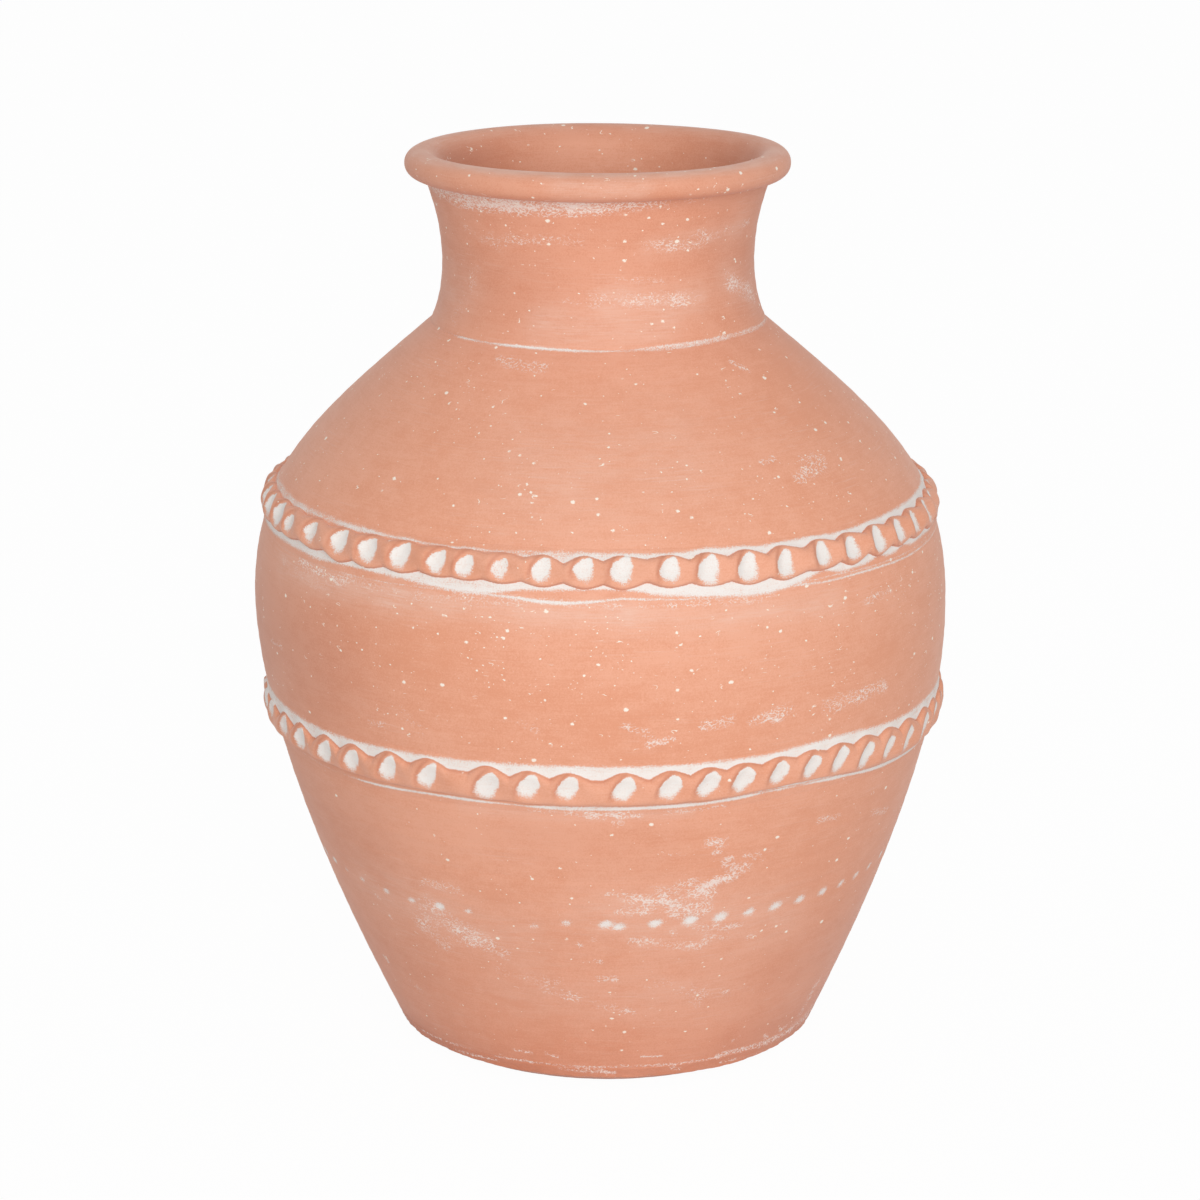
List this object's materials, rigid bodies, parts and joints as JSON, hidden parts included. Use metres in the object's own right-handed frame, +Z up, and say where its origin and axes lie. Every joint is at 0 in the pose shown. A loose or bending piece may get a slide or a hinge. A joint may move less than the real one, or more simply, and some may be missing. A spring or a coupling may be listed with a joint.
{
  "type": "terracotta vase",
  "caption": "Free-standing unglazed clay vase with a tapered foot, a full belly edged by pressed cordons, a sloping shoulder, a waisted neck and a rolled rim.",
  "frame": {"origin": "centre of the flat underside, on the surface that the vase stands on", "axes": "+Z up along the turning axis; the vase is round, so X and Y are free, and -Y faces the viewer of the picture"},
  "size_m": [0.28, 0.28, 0.362],
  "materials": {
    "body_clay": "matte unglazed salmon terracotta, fine wiping lines, white lime specks and chalky smears",
    "foot_clay": "matte bare terracotta, scuffed along its lower edge",
    "rim_clay": "matte unglazed terracotta, smoothed by hand, dusty on top",
    "cordon_clay": "matte terracotta ridges with white slip left in the pressed hollows"
  },
  "bodies": {
    "root": {"base_disc": "foot_clay", "lower_wall": "body_clay", "belly_wall": "body_clay", "shoulder_wall": "body_clay", "neck_collar": "body_clay", "rim_roll": "rim_clay", "lower_cordon": "cordon_clay", "upper_cordon": "cordon_clay"}
  },
  "joints": []
}
